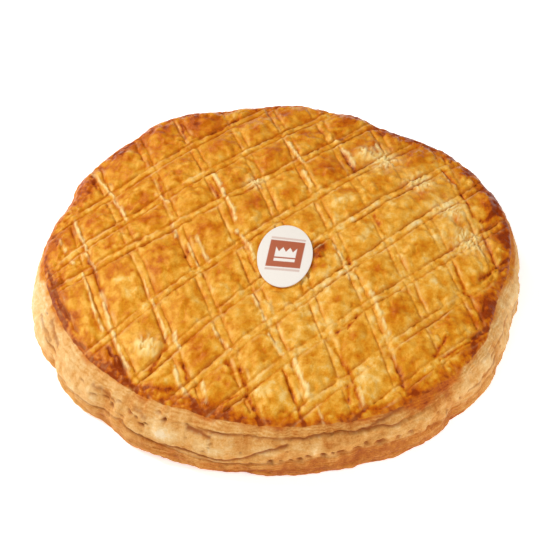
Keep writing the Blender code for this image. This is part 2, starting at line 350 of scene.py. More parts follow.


# Stretches where a cut was torn wide open or split apart while baking, and folds of the crust, as
# points in plan: the pale ones are pale torn dough and partly painted highlight, and the dark ones
# are browner glaze and partly painted shade.  First width and strength, in millimetres and 0 to 1.
PALE_STROKES = (
    (0.9, 1.0, (-103, 61), (-97, 52), (-91, 41), (-86, 30), (-81, 18)),
    (1.0, 1.0, (-109, 20), (-107, 15), (-103, 5), (-100, -4)),
    (0.9, 0.7, (-116, 6), (-112, -2), (-107, -12)), (0.9, 0.8, (-101, -6), (-97, -13), (-94, -19)),
    (0.9, 0.8, (-101, -19), (-97, -33), (-92, -50), (-88, -60)),
    (1.0, 0.9, (-91, -33), (-87, -48), (-84, -60), (-78, -76), (-74, -84)),
    (0.8, 0.8, (-112, -50), (-106, -64)),
    (0.9, 0.7, (-70, -28), (-66, -40), (-61, -52), (-57, -66)), (1.2, 0.7, (-66, 37), (-60, 30)),
    (1.3, 0.9, (-57, 12), (-54, 3)), (0.9, 0.8, (-48, -4), (-45, -12), (-42, -21)),
    (1.1, 0.7, (-44, 2), (-40, -10), (-37, -16)), (1.3, 1.0, (-36, 50), (-33, 43), (-30, 33)),
    (1.1, 0.9, (-28, 30), (-25, 20), (-24, 14)),
    (1.1, 0.8, (-23, 6), (-20, 1), (-16, -6), (-14, -15)), (1.2, 0.9, (4, 82), (7, 74), (12, 63)),
    (1.1, 0.8, (12, 54), (16, 42)), (1.6, 1.0, (34, 76), (37, 70), (40, 62)),
    (1.4, 0.9, (53, 81), (55, 72), (59, 62)), (1.1, 0.7, (27, -4), (31, -17), (34, -30)),
    (1.2, 0.9, (-15, -40), (-12, -47), (-8, -57)), (1.1, 0.7, (-7, -66), (-3, -75), (1, -82)),
    (1.3, 1.0, (6, -83), (9, -92), (12, -103)), (0.9, 0.7, (16, -108), (19, -118)),
    (1.0, 0.8, (36, -98), (39, -108)), (1.2, 0.9, (-53, -64), (-50, -74)),
    (1.2, 0.9, (-52, -84), (-49, -96), (-46, -102)), (1.2, 0.8, (-38, -95), (-36, -106)),
    (1.1, 0.7, (-34, -60), (-31, -68), (-25, -76)),
    (1.2, 0.8, (44, -38), (47, -48), (49, -56), (52, -66)),
    (1.0, 0.7, (88, 57), (91, 50), (95, 42)), (0.9, 0.8, (99, 10), (101, 1), (104, -8)),
    (0.9, 0.7, (52, -73), (55, -83)),
)

DARK_STROKES = (
    (1.1, 1.0, (-124, -11), (-120.5, -21.6), (-116.8, -32.6), (-111.6, -44.2), (-107, -54.6)),
    (1.0, 0.9, (-119.5, -14), (-117.2, -21.6), (-112.2, -35.6), (-104.9, -51)),
    (1.1, 0.9, (-99, -10), (-95, -20), (-91, -32)), (1.0, 1.0, (-80, -76), (-76, -86), (-71, -97)),
    (0.9, 0.8, (-85, -70), (-79, -83), (-74, -93)), (1.0, 0.8, (-102, 55), (-99, 47)),
    (1.0, 0.7, (-66, 50), (-64, 41), (-62, 34)), (0.9, 0.7, (-58, 14), (-56, 6)),
    (0.9, 0.8, (-49, -6), (-47, -11), (-49, -12)), (1.2, 0.8, (-38, 42), (-35, 37), (-33, 32)),
    (1.3, 0.9, (34, 72), (37, 64), (40, 57)), (1.0, 0.7, (48, 20), (51, 10), (53, 4)),
    (1.4, 0.8, (34, -14), (35, -20)), (1.0, 0.7, (-56, -66), (-57, -72)),
    (1.3, 0.7, (-56, -72), (-60, -79), (-64, -86)), (0.9, 0.9, (-48, -82), (-45, -93)),
    (1.1, 0.9, (-44, -102), (-39, -111)), (0.9, 0.7, (-27, -82), (-23, -94)),
    (1.0, 0.8, (-21, -86), (-17, -100)), (1.2, 1.0, (-17, -102), (-13, -111), (-10, -119)),
    (0.9, 0.8, (0, -88), (4, -100), (8, -112), (10, -119)),
    (1.0, 0.7, (22, -69), (27, -79), (32, -88), (36, -103)), (1.0, 0.8, (31, -96), (32, -106)),
    (0.8, 0.8, (26, -65), (32, -62), (37, -54)), (1.1, 0.9, (52, -77), (57, -88), (57, -95)),
    (0.9, 0.7, (88, -16), (92, -31)), (1.2, 0.8, (92, -33), (94, -34)),
    (1.0, 0.9, (80, -65), (77, -71), (73, -77)), (1.2, 1.0, (108, -51), (101, -57), (94, -63)),
    (0.9, 0.7, (92, -66), (84, -72), (76, -79)), (1.0, 0.8, (94, -66), (93, -76)),
    (0.9, 0.8, (88, 60), (93, 48), (98, 36), (101, 22)),
    (1.1, 1.0, (105, 19), (109, 21), (118, 31)), (0.9, 0.8, (105, 13), (110, 16)),
    (0.9, 0.8, (104, 12), (107, 0), (110, -13)), (0.9, 0.8, (119, -4), (111, -12), (100, -24)),
    (0.9, 0.8, (119, -9), (112, -15)), (1.0, 0.7, (30, 92), (33, 85), (40, 92)),
    (0.9, 0.7, (-23, 108), (-30, 99), (-38, 91)), (0.9, 0.7, (-57, 104), (-54, 94), (-53, 86)),
    (0.9, 0.7, (-28, -107), (-22, -103), (-18, -103)),
    (1.1, 0.7, (-49, -97), (-58, -98), (-66, -96)), (1.0, 0.8, (33, -117), (39, -109)),
)

# Places that baked darker or stayed pale, and painted light and shade: middle, half width, amount.
# The three small patches just right of the label are the label's painted shadow; the broad darker
# patch over the left half is painted shade, and the broad paler patches over the front and the
# right half are painted light.
BAKING_AND_SHADING_PATCHES = (
    # The last patch on this line and the first on the next are painted light over the front and the right
    # half
    (0, 100, 42, 0.13), (-66, 82, 26, 0.08), (66, 76, 28, 0.06), (4, -66, 50, -0.11),
    (56, 6, 50, -0.10), (-72, 36, 11, 0.14), (-98, 18, 9, 0.10), (-106, 45, 11, 0.12),
    (-117, 10, 8, 0.30), (-120, -6, 9, 0.18), (-112, -28, 8, 0.24), (-90, -20, 7, 0.10),
    (-14, 26, 9, 0.12), (4, 68, 11, 0.07), (30, 58, 9, 0.14), (72, 76, 11, 0.16),
    (0, 112, 12, 0.12), (38, 104, 10, 0.18), (-42, 98, 13, 0.30), (-80, 76, 12, 0.12),
    # First on this line, the label's painted shadow in three patches, then painted shade over the left
    # half
    (20, -7, 4.0, 0.95), (18.5, -14, 3.5, 0.75), (16, -22, 3.5, 0.45), (-62, -2, 44, 0.08),
    (24, -24, 13, -0.12), (4, 94, 16, -0.06), (95, -50, 7, 0.16), (107, 42, 10, 0.22),
    (116, 8, 9, 0.30), (114, 24, 8, 0.14), (-40, -84, 9, 0.14), (-26, -92, 7, 0.18),
    (-28, -110, 10, 0.24), (-82, -86, 9, 0.26), (-96, -72, 8, 0.16), (-60, 0, 16, -0.08),
    (60, 14, 14, -0.06), (88, 22, 10, -0.10), (76, 48, 8, -0.14), (56, 68, 6, -0.16),
    (95, 4, 9, -0.10), (90, 33, 5, -0.18), (-78, -32, 8, -0.12), (-58, -90, 9, -0.14),
    (-70, -70, 8, -0.12), (46, -92, 10, -0.14), (-6, -102, 8, -0.16), (-24, 90, 12, -0.10),
    (-44, 46, 8, -0.10), (22, -56, 14, -0.06), (49, -22, 6, 0.18), (59, -49, 7, 0.20),
    (37, -66, 6, 0.16), (102, -42, 9, 0.26), (82, -59, 6, 0.14), (-40, -71, 7, 0.22),
    (-14, -79, 6, 0.18), (12, -86, 5, 0.12), (-24, -52, 7, 0.10), (-2, -41, 6, 0.08),
    (62, -94, 9, 0.24), (30, -42, 6, 0.02), (72, 40, 6, 0.08), (27, 47, 8, 0.08),
)


# Where the cuts of each family nearly closed up again: middle, half width, share lost
FAINT_STEEP = (
    (72, 36, 34, 0.75), (44, 22, 14, 0.40), (-30, 60, 26, 0.35), (-60, 10, 20, 0.30),
    (30, 100, 24, 0.30),
)
FAINT_RISING = (
    (-10, -62, 30, 0.45), (40, -72, 26, 0.50), (-62, -52, 22, 0.45), (88, -30, 18, 0.45),
    (-52, 24, 34, 0.22),
)

# Places where the top layers shattered into flaky rays: middle, half width, number of rays
ROSETTES = (
    (56, 66, 8.0, 9), (47, 72, 5.0, 7), (74, 46, 7.0, 11), (89, 25, 7.5, 10), (97, 3, 8.0, 13),
    (-14, 44, 4.5, 8), (-66, -72, 5.0, 9),
)


def stroke_shares(strokes, x, y):
    """How far each point lies within any of the strokes, and within the narrow crack along their left
    edges, which is drawn as a painted shadow line, 0 to 1.  Strokes run towards -Y."""
    share, split_and_shadow = np.zeros(x.shape), np.zeros(x.shape)
    for width, strength, *corners in strokes:
        nearest = np.full(x.shape, np.inf)
        for (ax, ay), (bx, by) in zip(corners, corners[1:]):
            run_x, run_y = bx - ax, by - ay
            along = np.clip(((x - ax) * run_x + (y - ay) * run_y) / (run_x**2 + run_y**2), 0, 1)
            off_x, off_y = x - ax - along * run_x, y - ay - along * run_y
            signed = np.hypot(off_x, off_y) * np.where(run_x * off_y - run_y * off_x > 0, 1, -1)
            nearest = np.where(abs(signed) < abs(nearest), signed, nearest)
        share = np.maximum(share, strength * np.exp(-((nearest / width) ** 2)))
        split_and_shadow = np.maximum(split_and_shadow, strength * np.exp(-(((nearest + 1.4 * width) / 0.6) ** 2)))
    broken = 0.80 + 0.6 * noise(x / 3.2, y / 3.2, 57) + 0.4 * noise(x / 1.3, y / 1.3, 56)
    return np.clip(share * broken, 0, 1), np.clip(split_and_shadow * broken, 0, 1)


def patches(table, x, y):
    total = np.zeros(x.shape)
    for px, py, half, amount in table:
        total += amount * np.exp(-((x - px) ** 2 + (y - py) ** 2) / half**2)
    return total


def rosettes(x, y):
    """How far each point lies on a ray of a shattered place, 0 to 1."""
    share = np.zeros(x.shape)
    for number, (px, py, half, rays) in enumerate(ROSETTES):
        angle, away = polar(x - px, y - py)
        bent = np.radians(angle) + 0.35 * noise(away / 3, angle / 40, 91 + number)
        ray = 0.5 + 0.5 * np.cos(rays * bent + number)
        share = np.maximum(share, ray * np.exp(-((away / half) ** 2)))
    return np.clip(share * (1.4 + 0.6 * noise(x / 1.6, y / 1.6, 90)), 0, 1)


def domes(x, y, size, seed):
    """Round blisters about this far apart, 0 to 1."""
    u, v = x / size, y / size
    ix, iy = np.floor(u).astype(np.int64), np.floor(v).astype(np.int64)
    height = np.zeros(u.shape)
    for dx in (-1, 0, 1):
        for dy in (-1, 0, 1):
            cx, cy = ix + dx, iy + dy
            off_u, off_v = u - cx - hashed(cx, cy, seed), v - cy - hashed(cx, cy, seed + 1)
            reach = 0.45 + 0.45 * hashed(cx, cy, seed + 2)
            dome = np.clip(1 - (off_u**2 + off_v**2) / reach**2, 0, 1)
            height = np.maximum(height, (0.3 + 0.7 * hashed(cx, cy, seed + 3)) * dome)
    return height


def under_label(x, y):
    """1 under the label, which presses the crust flat, 0 a little outside it."""
    turn = math.radians(LABEL_TURN)
    off_x, off_y = x - LABEL_CENTRE[0], y - LABEL_CENTRE[1]
    u = (off_x * math.cos(turn) + off_y * math.sin(turn)) / LABEL_SEMI_AXES[0]
    v = (off_y * math.cos(turn) - off_x * math.sin(turn)) / LABEL_SEMI_AXES[1]
    return 1 - step(np.hypot(u, v), 1.03, 1.25)


def crust(x, y):
    """The crust's height at these points, and what its material needs to know there."""
    angle, r = polar(x, y)
    inside = np.maximum(ragged_rim(angle) - r, 0)
    # The last argument puts each family's pale torn wall, partly painted highlight, on the side facing
    # the key light
    steep = relief_of(STEEP, y, x, 1)
    rising = relief_of(RISING, x, y, -1)
    rising_left = np.clip(1 - patches(FAINT_RISING, x, y), 0, 1)
    steep_left = np.clip(0.82 - patches(FAINT_STEEP, x, y), 0, 1)
    steep_left = steep_left * (1 - 0.8 * rising_left * rising[6])
    puff = (1 - steep_left * (1 - steep[3])) * (1 - rising_left * (1 - rising[3]))
    cuts, dark_cut, pale_cut, beads = (
        np.maximum(steep_left * steep[i], rising_left * rising[i]) for i in (0, 1, 2, 5)
    )
    ridge = np.maximum(0.4 * steep_left * steep[4], rising_left * rising[4])
    fade = np.clip(inside / CUT_FADE, 0.35, 1)
    stray_x, stray_y = 1.2 * noise(x / 6, y / 6, 58), 1.2 * noise(x / 6, y / 6, 59)
    pale_stroke, split_and_shadow = stroke_shares(PALE_STROKES, x + 0.7 * stray_x, y + 0.7 * stray_y)
    pale_stroke = step(pale_stroke, 0.15, 0.80)
    dark_stroke = stroke_shares(DARK_STROKES, x + 0.6 * stray_x, y + 0.6 * stray_y)[0]
    # Dark strokes, with a quarter of the painted shadow line along the pale strokes' left edges
    dark_stroke = np.maximum(dark_stroke, 0.25 * split_and_shadow)
    near_rim = step(14 - inside, 0, 9)
    flakes = rosettes(x, y)
    swollen = domes(x + 1.5 * stray_x, y + 1.5 * stray_y, 8.0, 101)
    blisters = domes(x + stray_x, y + stray_y, 3.6, 105) * (0.45 + 0.55 * noise(x / 11, y / 11, 109))
    crinkle = layered(x / 2.6, y / 2.6, 61, 2)
    wrinkle = 0.5 - abs(layered(x / 5.5, y / 5.5, 65, 2))
    folds = near_rim * layered(angle / 360 * 90, inside / 2.6, 67, 2, 90)
    uneven = layered(x / 8.5, y / 8.5, 51)
    relief = TILE_PUFF * puff - cuts + 0.6 * beads + 0.60 * uneven * (0.4 + puff)
    relief = relief + 0.9 * puff**2 + 1.4 * swollen * puff + 1.9 * blisters
    relief = relief + 0.22 * crinkle + 0.5 * wrinkle
    crackle = near_rim * domes(x + stray_x, y + stray_y, 2.3, 113)
    relief = relief + 0.9 * folds + 0.9 * crackle + 0.6 * pale_stroke - dark_stroke + flakes
    roll = np.clip(EDGE_ROLL - inside, 0, EDGE_ROLL)
    rounded = EDGE_ROLL - np.sqrt(EDGE_ROLL**2 - roll**2)
    relief = relief - under_label(x, y) * np.maximum(relief - TILE_PUFF + 0.1, 0)
    height = crown(x, y) + fade * relief - rounded

    bake_and_shade = 0.51 + 0.20 * puff**1.5 * (0.55 + 1.3 * layered(x / 12, y / 12, 71, 2))
    bake_and_shade = bake_and_shade + 0.16 * layered(x / 5, y / 5, 75, 3) + 0.8 * patches(BAKING_AND_SHADING_PATCHES, x, y)
    # Browner down the cuts and along the dark strokes: browner pooled glaze and painted shade in the
    # grooves
    bake_and_shade = bake_and_shade + 0.16 * cuts + 0.60 * dark_stroke
    bake_and_shade = bake_and_shade - 0.13 * ridge * (0.4 + 1.1 * noise(x / 9, y / 9, 77))
    bake_and_shade = bake_and_shade - 0.30 * blisters - 0.22 * crackle - 0.10 * folds - 0.05 * uneven
    bake_and_shade = bake_and_shade + rim_brown(angle, inside)
    # Pale torn walls and pale strokes, partly painted highlight, and pale flakes
    pale = np.maximum(pale_cut * 0.6, np.maximum(pale_stroke, 1.1 * flakes))
    pale = pale * (1 - 0.8 * dark_stroke) * (1 - 0.5 * near_rim)
    bare = 1 - glaze_share(angle, inside)
    return height, {"bake_and_shade": bake_and_shade, "line": dark_cut * fade * (1 - bare), "pale": pale, "bare": bare}


# How far the glaze stops short of the crust's edge, or, below 0, how far down the side it runs:
# degrees, millimetres
GLAZE_END = (
    (0, -2.5), (30, -2.5), (70, -4.0), (150, -7.0), (165, -6.0), (180, -3.0), (190, -1.2),
    (200, -0.8), (208, 0.0), (216, 0.6), (235, 0.0), (262, 0.2), (290, 0.0), (298, -1.0),
    (303, -3.0), (312, -3.5), (318, 0.0), (345, -0.5), (360, -2.5),
)


def glaze_share(angle, inside):
    """1 where the crust is glazed, 0 on bare dough.  On the side, inside is below 0."""
    turn = angle / 360
    end = np.interp(angle, *zip(*GLAZE_END))
    end = end + 1.3 * noise(turn * 90, 0.5, 83, 90) + 0.4 * noise(turn * 280, 0.5, 84, 280)
    return step(inside - end, -1.3, 1.1)


# How brown the crust is at the rim: degrees, strength, width in millimetres
RIM_BROWN = (
    (0, 0.60, 13), (20, 0.66, 14), (30, 0.74, 15), (45, 0.78, 14), (60, 0.70, 13), (75, 0.50, 10),
    (90, 0.42, 10), (115, 0.42, 18), (135, 0.46, 18), (165, 0.42, 16), (180, 0.42, 15),
    (195, 0.58, 13), (225, 0.70, 13), (250, 0.78, 12), (270, 0.66, 11), (290, 0.56, 10),
    (303, 0.56, 11), (320, 0.48, 12), (336, 0.62, 14), (360, 0.60, 13),
)


def rim_brown(angle, inside):
    degrees, strength, width = zip(*RIM_BROWN)
    turn = angle / 360
    uneven = 1 + 0.5 * noise(turn * 40, inside / 9, 81, 40) + 0.3 * noise(turn * 130, inside / 3, 82, 130)
    share = 1 - step(inside, 0, np.interp(angle, degrees, width) * uneven)
    return 0.72 * np.interp(angle, degrees, strength) * share


# ---------------------------------------------------------------- meshes

def made_object(name, points, faces, material, values=None):
    """A smooth mesh object from points in millimetres, with one number for each point under each
    of the names in values."""
    mesh = bpy.data.meshes.new(name)
    mesh.from_pydata(((points + ORIGIN) * MM).tolist(), [], faces)
    for key, numbers in (values or {}).items():
        attribute = mesh.attributes.new(key, "FLOAT", "POINT")
        attribute.data.foreach_set("value", np.asarray(numbers, np.float32))
    mesh.shade_smooth()
    mesh.materials.append(material)
    made = bpy.data.objects.new(name, mesh)
    bpy.context.scene.collection.objects.link(made)
    return made


def lattice():
    """The crust's mesh inside its rim: plan points, and quads between the lines of both families."""
    steep_lines, rising_lines = STEEP.mesh_lines(), RISING.mesh_lines()
    x = np.zeros((len(steep_lines), len(rising_lines)))
    y = np.zeros((len(rising_lines), len(steep_lines)))
    for _ in range(14):
        y = RISING.line_at(rising_lines, x.T)
        x = STEEP.line_at(steep_lines, y.T)
    y = y.T
    angle, r = polar(x, y)
    kept = ragged_rim(angle) - r > LATTICE_INSET + 0.3
    cell = kept[:-1, :-1] & kept[1:, :-1] & kept[1:, 1:] & kept[:-1, 1:]
    index = np.arange(x.size).reshape(x.shape)
    quads = np.stack([index[:-1, :-1], index[1:, :-1], index[1:, 1:], index[:-1, 1:]], axis=-1)[cell]
    used, quads = np.unique(quads, return_inverse=True)
    points = np.column_stack([x.ravel()[used], y.ravel()[used]])
    return points, quads.reshape(-1, 4)


def open_edges(faces):
    """The edges that only one face has."""
    ends = np.concatenate([faces[:, [i, (i + 1) % 4]] for i in range(4)])
    _, first, count = np.unique(np.sort(ends, axis=1), axis=0, return_index=True, return_counts=True)
    return ends[first[count == 1]]


def within(points, starts, ends):
    """Which points lie within the closed outline that these edges make."""
    x, y = points[:, :1], points[:, 1:]
    ax, ay, bx, by = starts[:, 0], starts[:, 1], ends[:, 0], ends[:, 1]
    spans = (ay > y) != (by > y)
    rise = np.where(by == ay, 1, by - ay)
    crossed = spans & (x < ax + (y - ay) / rise * (bx - ax))
    return crossed.sum(axis=1) % 2 == 1


def crust_mesh():
    plan, quads = lattice()
    edges = open_edges(quads)
    border = np.unique(edges)
    angle = np.arange(COLUMNS) * 360 / COLUMNS
    ring = np.column_stack(placed(angle, ragged_rim(angle) - RIM_INSETS[0]))
    strip = np.concatenate([plan[border], ring])
    border_edges = np.searchsorted(border, edges)
    around = np.arange(COLUMNS)
    ring_edges = len(border) + np.column_stack([around, np.roll(around, -1)])
    constraints = np.concatenate([border_edges, ring_edges]).tolist()
    found = delaunay_2d_cdt([Vector(p) for p in strip], constraints, [], 1, 1e-5)
    corners = np.array([list(face) for face in found[2]])
    middles = np.array(found[0])[corners].mean(axis=1)
    outside = ~within(middles, plan[edges[:, 0]], plan[edges[:, 1]])
    numbers = np.concatenate([border, len(plan) + around])
    triangles = numbers[corners[outside]]

    points = [plan]
    faces = quads.tolist() + triangles.tolist()
    upper = len(plan) + around
    points.append(ring)
    count = len(plan) + COLUMNS
    for inset in RIM_INSETS[1:]:
        points.append(np.column_stack(placed(angle, ragged_rim(angle) - inset)))
        lower = count + around
        faces += np.column_stack([upper, lower, np.roll(lower, -1), np.roll(upper, -1)]).tolist()
        upper = lower
        count += COLUMNS
    plan = np.concatenate(points)
    height, values = crust(plan[:, 0], plan[:, 1])
    return np.column_stack([plan, height]), faces, values


# ---------------------------------------------------------------- the side

# How pale the side's dough is: degrees, share
SIDE_PALE = (
    (0, 0.75), (60, 0.35), (130, 0.45), (165, 0.80), (180, 0.95), (222, 0.85), (240, 0.60),
    (262, 0.50), (276, 0.40), (300, 0.35), (325, 0.75), (345, 0.85), (360, 0.75),
)

# Height of the seam between the two sheets of dough, and how plainly it shows: degrees,
# millimetres, share
SEAM_LINE = (
    (0, 11.0, 0.5), (60, 12.0, 0.7), (110, 10.0, 0.7), (150, 11.0, 0.6), (175, 8.0, 0.25),
    (200, 5.5, 0.15), (222, 9.0, 0.25), (234, 14.3, 0.6), (238, 13.0, 0.8), (243, 12.2, 0.8),
    (250, 11.0, 0.35), (254, 10.0, 0.7), (257, 9.2, 0.9), (262, 9.8, 0.8), (267, 11.3, 0.5),
    (276, 12.4, 0.4), (288, 13.8, 0.4), (298, 13.6, 0.3), (310, 11.0, 0.2), (330, 10.0, 0.3),
    (360, 11.0, 0.5),
)

# How deep the groove under the crust's lip is, which also sets how dark its line of painted shade is:
# degrees, millimetres
LIP_GROOVE = (
    (0, 0.3), (60, 0.8), (100, 0.4), (150, 0.7), (190, 0.1), (240, 0.2), (248, 0.4), (256, 0.8),
    (270, 0.7), (278, 1.6), (285, 2.2), (293, 1.5), (299, 0.4), (330, 0.4), (360, 0.3),
)

# Splits and overlaps in the side: width and depth in millimetres, darkness, which is painted shade in
# the split, then points as degrees and height
SIDE_SPLITS = (
    (0.70, 0.60, 0.9, (249, 22.0), (251, 21.7), (252.5, 21.9), (254.3, 21.2)),
    (0.65, 0.72, 0.9, (245, 13.2), (250, 13.0), (254, 12.1), (257, 11.4), (259, 11.8), (261, 13.0),
     (263.5, 15.0), (265.3, 17.0), (267.5, 18.8), (271, 20.3)),
    (0.70, 0.48, 0.7, (234, 15.0), (238, 13.2), (243, 12.3), (246.5, 12.4)),
    (0.75, 0.60, 0.8, (287, 21.7), (291, 22.6), (295, 23.6), (298.5, 24.6)),
    (0.95, 0.42, 0.6, (202, 22.5), (205, 21.3), (209, 20.0)),
    (0.65, 0.36, 0.6, (204, 16.3), (207, 15.4), (209.5, 14.6)),
    (0.65, 0.30, 0.5, (236, 22.4), (238, 22.2), (239.5, 21.2)),
    (0.65, 0.30, 0.5, (198, 19.5), (202, 18.4), (206, 18.0)),
    (0.65, 0.36, 0.5, (212, 9.0), (219, 9.8), (225, 10.6), (230, 12.0)),
    (0.75, 0.36, 0.6, (224, 21.0), (228, 20.4), (231, 20.8)),
    (0.65, 0.36, 0.5, (316, 15.5), (322, 14.5), (329, 15.0)),
    (0.65, 0.36, 0.5, (326, 19.0), (334, 18.0), (341, 18.4)),
    (0.65, 0.36, 0.6, (344, 12.0), (351, 13.0), (358, 12.5)),
    (0.75, 0.48, 0.6, (20, 18.0), (30, 17.0), (41, 17.8)),
    (0.75, 0.48, 0.6, (92, 17.5), (104, 18.5), (117, 18.0)),
    (0.75, 0.48, 0.6, (134, 16.0), (146, 17.0), (158, 16.2)),
)

# Holes: degrees, height, half width and half height in millimetres, depth from 0 to 1, which also sets
# the painted shade in the hole
SIDE_HOLES = (
    (228.3, 18.6, 2.4, 0.7, 0.8), (230.2, 17.6, 1.6, 1.2, 1.0), (225.0, 17.8, 1.8, 0.8, 0.5),
    (235.4, 20.6, 1.8, 0.6, 0.9), (237.2, 19.8, 1.2, 0.7, 0.7), (234.0, 17.0, 1.6, 0.5, 0.5),
    (238.8, 18.0, 1.8, 0.8, 0.9), (240.0, 19.4, 1.2, 0.5, 0.9), (243.5, 22.6, 1.3, 0.9, 1.0),
    (241.5, 23.4, 1.4, 0.5, 0.5), (232.0, 21.6, 1.4, 0.5, 0.5), (221.0, 19.6, 2.0, 0.6, 0.5),
    (248.5, 23.0, 1.0, 0.6, 0.5), (263.0, 10.4, 0.7, 0.5, 0.6), (267.3, 12.1, 1.3, 0.9, 1.0),
    (269.5, 12.6, 0.8, 0.7, 0.8), (271.6, 12.7, 0.8, 0.7, 0.9), (273.4, 13.1, 1.3, 0.8, 0.9),
    (275.2, 14.2, 1.6, 0.9, 0.9), (278.6, 14.0, 1.4, 1.1, 1.0), (280.6, 14.8, 0.8, 0.8, 0.9),
    (282.4, 14.4, 1.8, 1.1, 1.0), (285.8, 14.5, 1.8, 0.9, 1.0), (288.0, 15.8, 1.2, 0.9, 0.8),
    (291.3, 15.4, 2.0, 1.1, 1.0), (295.2, 15.0, 1.3, 0.8, 0.7), (298.4, 15.0, 1.5, 0.8, 0.7),
    (303.0, 13.0, 1.1, 0.8, 0.6), (309.0, 12.6, 1.1, 1.2, 0.8), (313.4, 15.0, 0.9, 1.1, 0.6),
    (306.0, 17.0, 0.7, 0.7, 0.5),
)

# Paler and darker areas of the side: degrees, height, half width and half height, amount
SIDE_PATCHES = (
    (244, 18.4, 7, 2.6, -0.34), (255, 16.5, 7, 3.0, -0.16), (264, 18.0, 5, 2.6, -0.18),
    (277, 17.5, 4, 3.0, -0.18), (270, 16.0, 7, 3.0, 0.06), (281, 19.0, 7, 3.0, 0.10),
    (280, 6.0, 20, 4.0, 0.14), (192, 15.0, 24, 9.0, -0.17), (320, 18.0, 16, 6.0, -0.06),
    (292, 18.0, 8, 2.6, -0.06), (246, 8.0, 14, 3.5, 0.04), (268, 5.0, 16, 3.5, 0.10),
    (216, 17.0, 12, 5.0, -0.06), (236, 22.0, 5, 2.5, 0.10), (305, 12.0, 4, 2.0, 0.16),
    (322, 13.0, 10, 4.0, 0.13), (308, 21.0, 8, 2.2, 0.22), (290, 14.0, 16, 8.0, 0.08),
    (350, 14.0, 22, 9.0, -0.10),
)

# Share of the bulge by share of the height from the table to the lip
SIDE_PROFILE = (
    (0.00, 0.72), (0.05, 0.88), (0.20, 1.00), (0.44, 1.00), (0.58, 0.95), (0.70, 0.80),
    (0.80, 0.60), (0.90, 0.33), (1.00, 0.00),
)

LIP_STRIP = 3.6          # height of the crust's own layers, above the groove
GROOVE_HALF = 0.9
LAYER = 1.05             # thickness of one flaky layer
SIDE_ROWS = (20, 8, 36, 8, 30, 5)
PORES = 150


def side_rows(lip, groove, seam):
    """Heights of the side's rows from the lip to the table, one column for each angle."""
    stops = (
        lip,
        groove + GROOVE_HALF,
        groove - GROOVE_HALF,
        seam + GROOVE_HALF,
        seam - GROOVE_HALF,
        0 * lip + 0.9,
        0 * lip,
    )
    rows = []
    for number, (high, low) in enumerate(zip(stops, stops[1:])):
        shares = np.arange(SIDE_ROWS[number]) / SIDE_ROWS[number]
        rows += [high + share * (low - high) for share in shares]
    return np.array(rows + [stops[-1]])


def arc_from(angle, degrees):
    """Millimetres round the rim from this many degrees."""
    return ((angle - degrees + 180) % 360 - 180) * math.pi / 180 * RIM_RADIUS


def small_holes(lip):
    """More, smaller holes scattered over the side, as in SIDE_HOLES."""
    rng = np.random.default_rng(7)
    holes = []
    for _ in range(PORES):
        degrees = rng.uniform(0, 360)
        height = rng.uniform(2.0, lip - 4)
        wide, tall = rng.uniform(0.4, 1.2), rng.uniform(0.25, 0.5)
        holes.append((degrees, height, wide, tall, rng.uniform(0.2, 0.7)))
    return holes


def side_marks(angle, z):
    """How deep the splits and holes go at each point of the side, in millimetres, how dark they are with
    painted shade, 0 to 1, and how much the paler and darker areas change the dough's browning."""
    stray = 0.8 * noise(angle / 360 * 90, z / 3, 35, 90)
    fine = 0.25 * noise(angle / 360 * 300, z / 1.5, 36, 300)
    up = z + 0.5 * stray + fine
    deep, dark, baked = np.zeros(z.shape), np.zeros(z.shape), np.zeros(z.shape)
    for width, depth, darkness, *corners in SIDE_SPLITS:
        nearest = np.full(z.shape, np.inf)
        for (a, low), (b, high) in zip(corners, corners[1:]):
            u, v = arc_from(angle, a), up - low
            run_u, run_v = (b - a) * math.pi / 180 * RIM_RADIUS, high - low
            along = np.clip((u * run_u + v * run_v) / (run_u**2 + run_v**2), 0, 1)
            nearest = np.minimum(nearest, np.hypot(u - along * run_u, v - along * run_v))
        share = np.exp(-((nearest / width) ** 2))
        deep = np.maximum(deep, depth * share)
        dark = np.maximum(dark, darkness * share)
    for degrees, height, wide, tall, strength in SIDE_HOLES + tuple(small_holes(RIM_HEIGHT)):
        u, v = (arc_from(angle, degrees) + stray) / wide, (up - height) / tall
        share = strength * np.exp(-((u**2 + v**2) ** 1.5))
        deep = np.maximum(deep, 1.6 * share)
        dark = np.maximum(dark, share)
    for degrees, height, wide, tall, amount in SIDE_PATCHES:
        u, v = (arc_from(angle, degrees) + 2 * stray) / wide, (up - height) / tall
        baked = baked + amount * np.exp(-(u**2) - v**2)
    return deep, dark, baked


